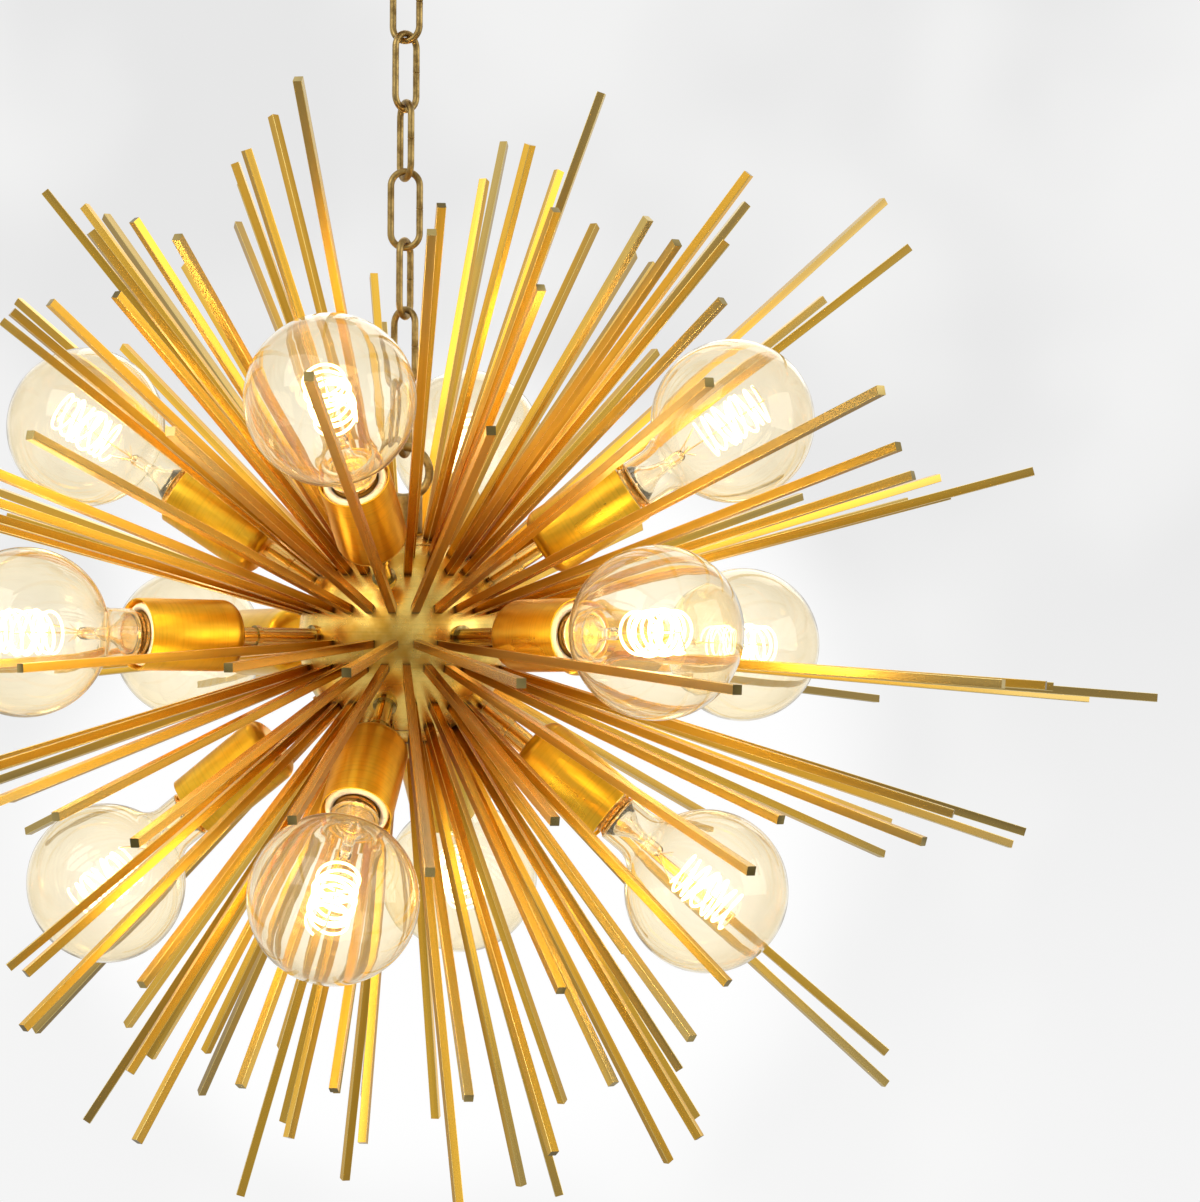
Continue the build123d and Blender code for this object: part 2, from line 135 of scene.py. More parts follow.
ball_low, ball_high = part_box("ball_shell")
BALL = (ball_low + ball_high) / 2

# ---------------------------------------------------------------- mesh helpers


def finish_mesh(name, verts, faces, sharp=35):
    """A closed mesh with outward normals, smooth but for edges over the sharp angle."""
    mesh = bpy.data.meshes.new(name)
    mesh.from_pydata(verts, [], faces)
    shape = bmesh.new()
    shape.from_mesh(mesh)
    bmesh.ops.recalc_face_normals(shape, faces=shape.faces)
    shape.to_mesh(mesh)
    shape.free()
    mesh.shade_smooth()
    mesh.set_sharp_from_angle(angle=radians(sharp))
    return mesh


def arc(centre, radius, start, end, steps=8):
    """Points (r, z) of an arc about centre, from start to end in degrees."""
    turns = [radians(start + (end - start) * step / steps) for step in range(steps + 1)]
    return [(centre[0] + radius * cos(turn), centre[1] + radius * sin(turn)) for turn in turns]


def revolve(name, outline, segments=72, closed=True, thread=None, sharp=35):
    """Turns an outline of (r, z) points about Z.  thread(r, z, angle) may move a point."""
    verts, faces, rings = [], [], []
    for radius, height in outline:
        if radius < 1e-7:
            rings.append([len(verts)])
            verts.append((0, 0, height))
            continue
        rings.append(list(range(len(verts), len(verts) + segments)))
        for segment in range(segments):
            angle = tau * segment / segments
            r = thread(radius, height, angle) if thread else radius
            verts.append((r * cos(angle), r * sin(angle), height))
    follow = rings[1:] + rings[:1] if closed else rings[1:]
    for low, high in zip(rings, follow):
        for here in range(segments):
            there = (here + 1) % segments
            corners = (low[here % len(low)], low[there % len(low)],
                       high[there % len(high)], high[here % len(high)])
            face = list(dict.fromkeys(corners))
            if len(face) > 2:
                faces.append(face)
    return finish_mesh(name, verts, faces, sharp)


def tube(name, points, radius, sides=14, closed=False):
    """A round wire along the points; radius is a number or a function of the point's index."""
    count = len(points)
    width = radius if callable(radius) else lambda index: radius
    verts, faces = [], []
    side = None
    for index, point in enumerate(points):
        before = points[(index - 1) % count] if closed or index else points[0]
        after = points[(index + 1) % count] if closed or index < count - 1 else points[-1]
        ahead = (after - before).normalized()
        if side is None:
            side = ahead.orthogonal().normalized()
        side = (side - ahead * side.dot(ahead)).normalized()
        up = ahead.cross(side)
        for corner in range(sides):
            turn = tau * corner / sides
            verts.append(point + (side * cos(turn) + up * sin(turn)) * width(index))
    for index in range(count if closed else count - 1):
        low, high = index * sides, (index + 1) % count * sides
        for corner in range(sides):
            there = (corner + 1) % sides
            faces.append((low + corner, low + there, high + there, high + corner))
    if not closed:
        faces.append(tuple(range(sides)))
        faces.append(tuple(range((count - 1) * sides, count * sides)))
    return finish_mesh(name, verts, faces, 50)


def joined(name, *meshes):
    """One mesh of several, which are then removed."""
    shape = bmesh.new()
    for mesh in meshes:
        shape.from_mesh(mesh)
    result = bpy.data.meshes.new(name)
    shape.to_mesh(result)
    shape.free()
    for mesh in meshes:
        bpy.data.meshes.remove(mesh)
    return result


def place(name, mesh, material, matrix, body, replaced=()):
    """Adds a piece: its own copy of the mesh, placed, finished, and riding on its body."""
    piece = bpy.data.objects.new(name, mesh.copy())
    bpy.context.scene.collection.objects.link(piece)
    piece.matrix_world = matrix
    piece.data.materials.clear()
    piece.data.materials.append(material)
    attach(piece, body)
    if replaced:
        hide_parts(*replaced)
    return piece


# ---------------------------------------------------------------- shader helpers


class Shader:
    """A material under construction: add() makes a node, and a socket given as input is linked."""

    def __init__(self, name):
        self.material = bpy.data.materials.new(name)
        self.material.use_nodes = True
        self.tree = self.material.node_tree
        self.surface = self.tree.nodes["Principled BSDF"]
        self.output = self.tree.nodes["Material Output"]

    def put(self, socket, value):
        if isinstance(value, bpy.types.NodeSocket):
            self.tree.links.new(value, socket)
        else:
            socket.default_value = value

    def add(self, kind, inputs=(), out=0, **settings):
        node = self.tree.nodes.new("ShaderNode" + kind)
        for name, value in settings.items():
            setattr(node, name, value)
        for key, value in dict(inputs).items():
            self.put(node.inputs[key], value)
        return node.outputs[out]

    def math(self, operation, first, second=0.0):
        return self.add("Math", {0: first, 1: second}, operation=operation)

    def vector(self, operation, first, second=(0, 0, 0), out="Vector"):
        return self.add("VectorMath", {0: first, 1: second}, out, operation=operation)

    def scaled(self, vector, factors):
        return self.vector("MULTIPLY", vector, factors)

    def noise(self, vector, scale, detail=2.0, roughness=0.5):
        inputs = {"Vector": vector, "Scale": scale, "Detail": detail, "Roughness": roughness}
        return self.add("TexNoise", inputs)

    def span(self, value, low, high, to_low=0.0, to_high=1.0):
        inputs = {"Value": value, "From Min": low, "From Max": high,
                  "To Min": to_low, "To Max": to_high}
        return self.add("MapRange", inputs, interpolation_type="SMOOTHSTEP")

    def mix(self, factor, first, second, blend="MIX"):
        node = self.tree.nodes.new("ShaderNodeMix")
        node.data_type = "RGBA"
        node.blend_type = blend
        self.put(node.inputs[0], factor)
        self.put(node.inputs[6], first)
        self.put(node.inputs[7], second)
        return node.outputs[2]

    def coordinates(self, which="Object"):
        return self.add("TexCoord", out=which)

    def bump(self, height, strength, distance):
        inputs = {"Height": height, "Strength": strength, "Distance": distance}
        self.put(self.surface.inputs["Normal"], self.add("Bump", inputs))

    def set(self, **values):
        for name, value in values.items():
            self.put(self.surface.inputs[name.replace("_", " ")], value)

    def metal(self, colour, roughness):
        self.set(Base_Color=colour, Metallic=1.0, Roughness=roughness)


def grey(value):
    return (value, value, value, 1)


# ---------------------------------------------------------------- materials

# GOLD among the bulbs and OLIVE at the bar tips paint warm lamplight and its fading.
GOLD = (0.98, 0.575, 0.072, 1)
DEEP_BROWN = (0.60, 0.235, 0.008, 1)
ROOT_SHADOW = (0.08, 0.026, 0.002, 1)
OLIVE = (0.60, 0.44, 0.15, 1)
FACE_SHADE = (0.50, 0.45, 0.42, 1)
# A painted highlight for the bars' rounded edges.
EDGE_HIGHLIGHT = (1.0, 0.80, 0.30, 1)
END_OLIVE = (0.20, 0.15, 0.05, 1)
END_PALE = (0.50, 0.38, 0.14, 1)
CHAMPAGNE = (0.97, 0.68, 0.17, 1)
CHAMPAGNE_SHADE = (0.72, 0.40, 0.05, 1)
CUP_GOLD = (0.94, 0.58, 0.045, 1)
CUP_SHADE = (0.74, 0.40, 0.02, 1)
ANTIQUE = (0.46, 0.32, 0.115, 1)
ANTIQUE_DARK = (0.23, 0.145, 0.045, 1)
CANOPY_GOLD = (0.62, 0.43, 0.17, 1)
CANOPY_STAIN = (0.42, 0.27, 0.10, 1)
CAP_GOLD = (0.90, 0.62, 0.22, 1)
CAP_PAINTED_SHADE = (0.66, 0.40, 0.12, 1)
NICKEL = (0.80, 0.62, 0.36, 1)
NICKEL_SHADE = (0.62, 0.44, 0.22, 1)
GLAZE = (0.86, 0.83, 0.77, 1)
GLAZE_SPECKLE = (0.70, 0.63, 0.52, 1)
GLASS_FACE = (0.975, 0.935, 0.83, 1)
GLASS_EDGE = (0.86, 0.745, 0.49, 1)
GLASS_GLOW = (1.0, 0.82, 0.46, 1)
GLASS_SHADOW = (1.0, 0.95, 0.87, 1)
FOOT_CLEAR = (1.0, 0.96, 0.88, 1)
FOOT_SHADOW = (1.0, 0.94, 0.85, 1)
CARBON = (0.1, 0.05, 0.02, 1)
COIL_HOT = (1.0, 0.86, 0.50, 1)
COIL_ENDS = (1.0, 0.74, 0.34, 1)


def bar_material():
    """Satin brass: brown at the ball, golden among the bulbs as painted warm lamplight, olive at
    the tips as painted dimmer light.

    Noise over the direction from the ball gives each bar its own tone.  A bar's sides face
    level or square to that, so its normal tells its flat faces from its edges, which get a
    painted highlight."""
    s = Shader("bar_brass")
    local = s.vector("SUBTRACT", s.coordinates(), tuple(BALL))
    normal = s.coordinates("Normal")
    distance = s.vector("LENGTH", local, out="Value")
    outward = s.vector("NORMALIZE", local)
    bar_tone = s.noise(outward, 11.0, 1.0)
    face_place = s.vector("ADD", s.scaled(outward, (14,) * 3), s.scaled(normal, (1.8,) * 3))
    face_tone = s.noise(face_place, 1.0, 0.0)
    grain_place = s.vector("ADD", s.scaled(outward, (85,) * 3), s.scaled(local, (3,) * 3))
    drawn = s.noise(grain_place, 1.0, 0.0)
    blotch = s.noise(local, 42.0, 1.0, 0.4)
    # Painted light: the distance from the ball, jittered by blotches, sets a golden band of
    # painted warm lamplight among the bulbs.
    glow_distance = s.math("ADD", distance, s.math("MULTIPLY", s.math("SUBTRACT", blotch, 0.5), 0.06))
    colour = s.mix(s.span(distance, BALL_RADIUS, BALL_RADIUS + 5 * MM), ROOT_SHADOW, DEEP_BROWN)
    colour = s.mix(s.span(glow_distance, 0.07, 0.18), colour, GOLD)
    # Painted dimmer light: past the bulbs' glow the bars fade to olive at their tips.
    past_the_glow = s.math("ADD", glow_distance, s.math("MULTIPLY", s.math("SUBTRACT", bar_tone, 0.5), 0.5))
    colour = s.mix(s.span(past_the_glow, 0.25, 0.41, 0.0, 0.92), colour, OLIVE)
    colour = s.mix(s.span(face_tone, 0.42, 0.60, 0.0, 0.62), colour, FACE_SHADE, "MULTIPLY")
    colour = s.mix(s.span(drawn, 0.45, 0.70, 0.0, 0.25), colour, grey(0.5), "MULTIPLY")
    level = s.vector("NORMALIZE", s.vector("CROSS_PRODUCT", (0, 0, 1), outward))
    side = s.math("ABSOLUTE", s.vector("DOT_PRODUCT", level, normal, out="Value"))
    edge = s.math("MULTIPLY", s.span(side, 0.12, 0.3), s.span(side, 0.95, 0.99, 1.0, 0.0))
    # Painted highlight along each bar's rounded edges.
    colour = s.mix(s.math("MULTIPLY", edge, 0.75), colour, EDGE_HIGHLIGHT)
    facing = s.vector("DOT_PRODUCT", outward, normal, out="Value")
    # End faces: dark olive, and a paler painted light on some bars.
    end = s.mix(s.span(bar_tone, 0.4, 0.6), END_OLIVE, END_PALE)
    colour = s.mix(s.span(facing, 0.7, 0.9), colour, end)
    s.metal(colour, s.span(face_tone, 0.3, 0.7, 0.19, 0.34))
    s.bump(drawn, 0.012, 0.15 * MM)
    return s.material


def ball_material():
    """Pale champagne satin brass with faint turning marks and soft patches of painted shade."""
    s = Shader("ball_brass")
    local = s.vector("SUBTRACT", s.coordinates(), tuple(BALL))
    turned = s.noise(s.scaled(local, (14, 14, 900)), 1.0, 3.0)
    stains_and_painted_shade = s.noise(local, 38.0, 4.0, 0.6)
    # Painted shade: soft patches of the shaded champagne, also a little rougher.
    colour = s.mix(s.span(stains_and_painted_shade, 0.38, 0.68), CHAMPAGNE, CHAMPAGNE_SHADE)
    colour = s.mix(s.span(turned, 0.45, 0.75, 0.0, 0.25), colour, grey(0.5), "MULTIPLY")
    s.metal(colour, s.span(stains_and_painted_shade, 0.3, 0.7, 0.20, 0.33))
    s.bump(turned, 0.12, 0.08 * MM)
    return s.material


def cup_material():
    """Deep gold satin brass, turned on a lathe: fine rings around the lamp's axis."""
    s = Shader("cup_brass")
    local = s.coordinates()
    turned = s.noise(s.scaled(local, (9, 9, 700)), 1.0, 1.0)
    painted_streaks = s.noise(s.scaled(local, (60, 60, 22)), 1.0, 3.0)
    # Painted shade: streaks along the lamp's axis of the shaded CUP_SHADE among the lit CUP_GOLD.
    colour = s.mix(s.span(painted_streaks, 0.35, 0.7), CUP_GOLD, CUP_SHADE)
    colour = s.mix(s.span(turned, 0.45, 0.75, 0.0, 0.22), colour, grey(0.5), "MULTIPLY")
    s.metal(colour, s.span(painted_streaks, 0.3, 0.7, 0.27, 0.38))
    s.set(Anisotropic=0.5)
    s.bump(turned, 0.06, 0.05 * MM)
    return s.material


def chain_material():
    """Antique brass: dark in patches, rubbed brighter elsewhere, a little uneven."""
    s = Shader("chain_brass")
    local = s.coordinates()
    patch = s.noise(local, 130.0, 5.0, 0.62)
    dents = s.noise(local, 420.0, 2.0)
    colour = s.mix(s.span(patch, 0.38, 0.64), ANTIQUE, ANTIQUE_DARK)
    s.metal(colour, s.span(patch, 0.3, 0.7, 0.28, 0.5))
    s.bump(dents, 0.35, 0.25 * MM)
    return s.material


def canopy_material():
    """Spun satin brass."""
    s = Shader("canopy_brass")
    local = s.coordinates()
    spun = s.noise(s.scaled(local, (5, 5, 700)), 1.0, 3.0)
    stains_and_painted_shade = s.noise(local, 26.0, 4.0, 0.6)
    colour = s.mix(s.span(stains_and_painted_shade, 0.38, 0.66), CANOPY_GOLD, CANOPY_STAIN)
    s.metal(colour, s.span(stains_and_painted_shade, 0.3, 0.7, 0.26, 0.4))
    s.bump(spun, 0.12, 0.1 * MM)
    return s.material


def cap_material():
    """Bright rolled brass of the bulbs' caps."""
    s = Shader("cap_brass")
    stains_and_painted_shade = s.noise(s.coordinates(), 240.0, 3.0)
    # Painted shade: patches of a darker copy of the cap's brass.
    colour = s.mix(s.span(stains_and_painted_shade, 0.4, 0.7), CAP_GOLD, CAP_PAINTED_SHADE)
    s.metal(colour, s.span(stains_and_painted_shade, 0.3, 0.7, 0.16, 0.3))
    return s.material


def steel_material():
    """Plain zinc-plated steel of the hidden hardware."""
    s = Shader("plated_steel")
    grain = s.noise(s.coordinates(), 300.0, 3.0)
    s.metal(s.mix(grain, grey(0.62), grey(0.42)), s.span(grain, 0.3, 0.7, 0.3, 0.45))
    return s.material


def porcelain_material():
    """White glazed porcelain, faintly warm and speckled."""
    s = Shader("porcelain")
    speckle = s.noise(s.coordinates(), 500.0, 3.0)
    colour = s.mix(s.span(speckle, 0.6, 0.75), GLAZE, GLAZE_SPECKLE)
    s.set(Base_Color=colour, Roughness=0.28, Coat_Weight=0.6, Coat_Roughness=0.08)
    s.bump(speckle, 0.05, 0.1 * MM)
    return s.material


def dark_material():
    """Black vitrite and shadowed plastic."""
    s = Shader("vitrite")
    grain = s.noise(s.coordinates(), 400.0, 3.0)
    s.set(Base_Color=s.mix(grain, grey(0.02), grey(0.05)), Roughness=0.35)
    return s.material


def see_through(shader, tint):
    """Lets shadow rays through a glass, tinted, so that lamps light what lies behind it."""
    is_shadow = shader.add("LightPath", out="Is Shadow Ray")
    clear = shader.add("BsdfTransparent", {"Color": tint})
    mixed = shader.add("MixShader", {0: is_shadow, 1: shader.surface.outputs[0], 2: clear})
    shader.put(shader.output.inputs["Surface"], mixed)


def glass_material():
    """Thin blown glass with an amber breath, a little wavy."""
    s = Shader("bulb_glass")
    local = s.coordinates()
    waves = s.noise(local, 30.0, 2.0, 0.45)
    edge = s.add("LayerWeight", {"Blend": 0.35}, out="Facing")
    colour = s.mix(edge, GLASS_FACE, GLASS_EDGE)
    s.set(Base_Color=colour, Roughness=0.0, IOR=1.46, Transmission_Weight=1.0)
    s.set(Emission_Color=GLASS_GLOW, Emission_Strength=0.035)
    s.material.cycles.emission_sampling = "NONE"
    s.bump(waves, 0.34, 1.2 * MM)
    see_through(s, GLASS_SHADOW)
    return s.material


def foot_glass_material():
    """Thicker clear glass of the bulb's inner foot."""
    s = Shader("foot_glass")
    waves = s.noise(s.coordinates(), 150.0, 2.0)
    s.set(Base_Color=FOOT_CLEAR, Roughness=0.02, IOR=1.5, Transmission_Weight=1.0)
    s.bump(waves, 0.3, 0.6 * MM)
    see_through(s, FOOT_SHADOW)
    return s.material


def filament_material():
    """Glowing carbon coil, hottest in the middle of its turns."""
    s = Shader("filament_glow")
    along = s.add("SeparateXYZ", {0: s.coordinates()}, out="Z")
    from_middle = s.span(s.math("ABSOLUTE", along), 10 * MM, 21 * MM)
    s.set(Base_Color=CARBON, Roughness=0.6)
    s.set(Emission_Color=s.mix(from_middle, COIL_HOT, COIL_ENDS), Emission_Strength=5.0)
    s.material.cycles.emission_sampling = "NONE"
    return s.material


def wire_material():
    """Nickel support wire, warm with the light beside it."""
    s = Shader("support_wire")
    grain = s.noise(s.coordinates(), 900.0, 2.0)
    s.metal(s.mix(grain, NICKEL, NICKEL_SHADE), 0.3)
    return s.material


BAR = bar_material()
BALL_BRASS = ball_material()
CUP_BRASS = cup_material()
CHAIN_BRASS = chain_material()
CANOPY_BRASS = canopy_material()
CAP_BRASS = cap_material()
STEEL = steel_material()
PORCELAIN = porcelain_material()
VITRITE = dark_material()
GLASS = glass_material()
FOOT_GLASS = foot_glass_material()
GLOW = filament_material()
WIRE = wire_material()

# ---------------------------------------------------------------- CAD nodes that stay


def dress(node, material):
    """Gives a CAD node that stays its material."""
    slots = frame["nodes"][node].data.materials
    slots.clear()
    slots.append(material)


for node in frame["nodes"]:
    if node.startswith("bars_"):
        dress(node, BAR)
    elif node in ("canopy_dish", "canopy_screws"):
        dress(node, CANOPY_BRASS)
    elif node in ("canopy_crossbar", "canopy_locknut", "centre_rod", "rod_locknuts"):
        dress(node, STEEL)
    elif node in ("canopy_loop", "ball_loop") or node.startswith("chain_"):
        dress(node, CHAIN_BRASS)
    elif node.startswith("ball_") or node == "bottom_finial":
        dress(node, BALL_BRASS)
    elif node.startswith("socket_stems"):
        dress(node, BAR)

# ---------------------------------------------------------------- ball and chain


def ball_band_mesh():
    """The ball between its two seams, with eased edges and its inner wall."""
    edge = degrees(asin((SEAM_HEIGHT - SEAM_EASE) / BALL_RADIUS))
    lip = sqrt(BALL_RADIUS**2 - SEAM_HEIGHT**2) - SEAM_EASE
    inner_radius = BALL_RADIUS - BALL_WALL
    inner_edge = degrees(asin(SEAM_HEIGHT / inner_radius))
    outline = [(lip, -SEAM_HEIGHT)] + arc((0, 0), BALL_RADIUS, -edge, edge, 72)
    outline += [(lip, SEAM_HEIGHT)] + arc((0, 0), inner_radius, inner_edge, -inner_edge, 48)
    return revolve("ball_band", outline, 144)


def ball_cap_mesh():
    """The dished cap above a seam, with the shank's hole in its middle."""
    foot = SEAM_HEIGHT + SEAM_GAP
    edge = degrees(asin((foot + SEAM_EASE) / BALL_RADIUS))
    pole = degrees(acos(SHANK_HOLE_RADIUS / BALL_RADIUS))
    inner_radius = BALL_RADIUS - BALL_WALL
    inner_edge = degrees(asin(foot / inner_radius))
    inner_pole = degrees(acos(SHANK_HOLE_RADIUS / inner_radius))
    outline = [(sqrt(BALL_RADIUS**2 - foot**2) - SEAM_EASE, foot)]
    outline += arc((0, 0), BALL_RADIUS, edge, pole, 20)
    outline += arc((0, 0), inner_radius, inner_pole, inner_edge, 20)
    return revolve("ball_cap", outline, 144)


place("ball_band", ball_band_mesh(), BALL_BRASS, Matrix.Translation(BALL), "chandelier",
      ["ball_shell"])
upside_down = Matrix.Rotation(pi, 4, "X")
cap_of_ball = ball_cap_mesh()
place("ball_cap_top", cap_of_ball, BALL_BRASS, Matrix.Translation(BALL), "chandelier",
      ["ball_caps"])
place("ball_cap_bottom", cap_of_ball, BALL_BRASS, Matrix.Translation(BALL) @ upside_down,
      "chandelier")


def link_mesh(height):
    """An oval link of drawn wire, butt-welded in the middle of its +X side."""
    bow = LINK_WIDTH / 2 - LINK_WIRE
    straight = height / 2 - LINK_WIRE - bow
    near_weld = [0, 0.12, 0.25, 0.4, 0.7, 1.1, 1.7, 2.6, 4.0, 6.0, 8.5, 11.0]
    side = [step * MM for step in near_weld if step * MM < straight] + [straight]
    points = [Vector((bow, 0, z)) for z in side]
    points += [Vector((bow * cos(t), 0, straight + bow * sin(t)))
               for t in (pi * n / 24 for n in range(1, 25))]
    points += [Vector((-bow, 0, straight * (1 - n / 6))) for n in range(1, 12)]
    points += [Vector((bow * cos(t), 0, -straight + bow * sin(t)))
               for t in (pi + pi * n / 24 for n in range(0, 25))]
    points += [Vector((bow, 0, -z)) for z in reversed(side[1:-1])]

    def wire(index):
        point = points[index]
        away = abs(point.z) if point.x > 0 else straight
        bulge = 0.045 * exp(-((away / (1.3 * MM)) ** 2))
        groove = 0.17 * exp(-((away / (0.2 * MM)) ** 2))
        return LINK_WIRE * (1 + bulge - groove)

    return tube("link", points, wire, 20, closed=True)


for joint in frame["joints"]:
    link = joint["parent"]
    if link.startswith("chain_link_"):
        low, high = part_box(link)
        wide = Vector(joint["axis"]) * (1 if joint["axis"][0] > 0 else -1)
        rise = Vector((0, 0, 1))
        turn = Matrix((wide, rise.cross(wide), rise)).transposed().to_4x4()
        place(link + "_wire", link_mesh(high.z - low.z), CHAIN_BRASS,
              Matrix.Translation((low + high) / 2) @ turn, link, [link])

# ---------------------------------------------------------------- bulb meshes

FLARE_CENTRE = NECK_RADIUS + NECK_FLARE
FLARE_HEIGHT = -sqrt((GLOBE_RADIUS + NECK_FLARE) ** 2 - FLARE_CENTRE**2)
FLARE_END = degrees(atan2(FLARE_HEIGHT, FLARE_CENTRE))


def glass_side(inset, steps=48):
    """One side of the glass, from the neck's end to the globe's top."""
    flare = arc((FLARE_CENTRE, FLARE_HEIGHT), NECK_FLARE + inset, 180, 180 + FLARE_END, 14)
    globe = arc((0, 0), GLOBE_RADIUS - inset, FLARE_END, 90, steps)
    globe[-1] = (0, globe[-1][1])
    return [(NECK_RADIUS - inset, NECK_END)] + flare + globe[1:]


def globe_mesh():
    """The blown glass, its two sides a wall apart."""
    outline = glass_side(0) + glass_side(GLASS_WALL)[::-1]
    return revolve("globe", outline, 96)


def cap_mesh():
    """Screw cap: a rolled skirt, a thread of one start, and a cone."""
    steps = 56
    roll = 0.5 * MM
    mouth, mouth_floor = CAP_RADIUS - 1.1 * MM, NECK_END - 1.0 * MM
    wall = CAP_RADIUS - 0.3 * MM
    top, bottom = NECK_END - 3.5 * MM, CAP_CONE_TOP
    cone_end = CAP_TIP + CONTACT_HEIGHT
    outline = [(mouth, NECK_END)]
    outline += arc((NECK_RADIUS - roll, NECK_END - roll), roll, 90, -90, 8)
    outline += [(wall, top + (bottom - top) * step / steps) for step in range(steps + 1)]
    outline += [(CAP_CONTACT + 2 * MM, cone_end), (0, cone_end)]
    outline += [(0, mouth_floor), (mouth, mouth_floor)]

    def thread(radius, height, angle):
        if radius != wall:
            return radius
        wave = sin(tau * height / THREAD_PITCH + angle)
        return radius - THREAD_DEPTH / 2 + wave * THREAD_DEPTH / 2

    return revolve("cap", outline, 48, thread=thread, sharp=60)


def contact_mesh():
    """Black insulator with its contact at the cap's tip."""
    base = CAP_TIP + CONTACT_HEIGHT
    outline = [(0, CAP_TIP), (2.5 * MM, CAP_TIP), (CAP_CONTACT, CAP_TIP + CONTACT_HEIGHT / 2),
               (CAP_CONTACT + 1.6 * MM, base), (0, base)]
    return revolve("contact", outline, 32)


def foot_mesh():
    """Glass foot: a flare in the cap's mouth, drawn up to a pinched stem."""
    outer = [(11.6 * MM, NECK_END + 0.3 * MM), (9.0 * MM, NECK_END + 5 * MM),
             (5.6 * MM, NECK_END + 10 * MM), (4.0 * MM, NECK_END + 15 * MM),
             (FOOT_NECK, NECK_END + 20 * MM), (FOOT_NECK + 0.5 * MM, FOOT_TOP - 5 * MM),
             (FOOT_NECK, FOOT_TOP - 1.5 * MM), (FOOT_NECK * 0.6, FOOT_TOP), (0, FOOT_TOP)]
    inner = [(0, FOOT_TOP - 9 * MM), (FOOT_NECK - 1.3 * MM, FOOT_TOP - 11 * MM),
             (2.8 * MM, NECK_END + 15 * MM), (4.4 * MM, NECK_END + 10 * MM),
             (7.8 * MM, NECK_END + 5 * MM), (10.6 * MM, NECK_END + 0.3 * MM)]
    return revolve("foot", outer + inner, 40, sharp=60)


def coil_point(turn):
    """The coil's line after so many turns, each loop a little wider and tilted its own way."""
    share = turn / FILAMENT_TURNS
    radius = FILAMENT_RADIUS * (0.86 + 0.09 * sin(pi * share) + 0.05 * sin(2.6 * turn))
    height = FILAMENT_PITCH * (turn - FILAMENT_TURNS / 2)
    height += LOOP_TILT * sin(tau * turn + 1.7 * turn) * sin(pi * share)
    return Vector((radius * cos(tau * turn), radius * sin(tau * turn), height))


def filament_mesh():
    """The coil, one wire from end to end."""
    steps = FILAMENT_TURNS * 40
    points = [coil_point(FILAMENT_TURNS * step / steps) for step in range(steps + 1)]
    return tube("filament", points, FILAMENT_WIRE, 10)


def support_mesh():
    """Two lead wires and the fine hooks that hold the coil from a central mast."""
    mast_top = Vector((0, 0, FILAMENT_PITCH * FILAMENT_TURNS / 2 + 2 * MM))
    foot = Vector((0, 0, FOOT_TOP - 3 * MM))
    first, last = coil_point(0), coil_point(FILAMENT_TURNS)
    knee = Vector((first.x * 0.55, 0, FOOT_TOP + 6 * MM))
    wires = [
        tube("mast", [foot, mast_top], 0.45 * MM, 8),
        tube("lead_in", [foot + Vector((1.6 * MM, 0, 0)), knee, first], 0.4 * MM, 8),
        tube("lead_out", [mast_top - Vector((0, 0, MM)), last + Vector((-3 * MM, 0, MM)), last],
             0.4 * MM, 8),
    ]
    for height_share in (0.12, 0.5, 0.88):
        for spoke in range(4):
            turn = FILAMENT_TURNS * height_share + spoke / 4
            tip = coil_point(min(turn, FILAMENT_TURNS))
            hub = Vector((0, 0, tip.z - 1.5 * MM))
            wires.append(tube("hook", [hub, tip], 0.16 * MM, 6))
    for spoke in range(5):
        angle = tau * (spoke + 0.3) / 5
        tip = Vector((5.5 * MM * cos(angle), 5.5 * MM * sin(angle), FOOT_TOP + 5 * MM))
        wires.append(tube("stub", [foot + Vector((0, 0, 3 * MM)), tip], 0.2 * MM, 6))
    return joined("supports", *wires)


# ---------------------------------------------------------------- lamp meshes


def cup_mesh():
    """Turned cup with a rounded closed end and a rolled lip."""
    lip = CUP_WALL / 2
    shoulder = (CUP_RADIUS - CUP_ROUNDING, CUP_CLOSED_END + CUP_ROUNDING)
    outline = [(STEM_BORE, CUP_CLOSED_END)]
    outline += arc(shoulder, CUP_ROUNDING, -90, 0, 14)
    outline += arc((CUP_RADIUS - lip, CUP_RIM - lip), lip, 0, 180, 8)
    outline += arc(shoulder, CUP_ROUNDING - CUP_WALL, 0, -90, 14)
    outline += [(STEM_BORE, CUP_CLOSED_END + CUP_WALL)]
    return revolve("cup", outline, 96)


def holder_mesh():
    """Porcelain lampholder: a rounded rim around the bulb's bore."""
    edge, shoulder = 1.4 * MM, 3.0 * MM
    seat = CUP_CLOSED_END + CUP_WALL
    rim_radius, rim_foot = HOLDER_RADIUS - HOLDER_STEP, HOLDER_FACE - HOLDER_RIM_DEPTH
    outline = [(STEM_BORE, seat), (HOLDER_FOOT_RADIUS, seat)]
    outline += [(HOLDER_FOOT_RADIUS, HOLDER_BACK), (HOLDER_RADIUS, HOLDER_BACK)]
    outline += [(HOLDER_RADIUS, rim_foot - HOLDER_STEP), (rim_radius, rim_foot)]
    outline += arc((rim_radius - shoulder, HOLDER_FACE - shoulder), shoulder, 0, 90, 8)
    outline += arc((HOLDER_BORE + edge, HOLDER_FACE - edge), edge, 90, 180, 6)
    outline += [(HOLDER_BORE, HOLDER_BORE_BOTTOM), (STEM_BORE, HOLDER_BORE_BOTTOM)]
    return revolve("holder", outline, 80)


LAMP_AXES = {}
for joint in frame["joints"]:
    if joint["name"].startswith("bulb_"):
        LAMP_AXES[joint["child"]] = Vector(joint["axis"]).normalized()


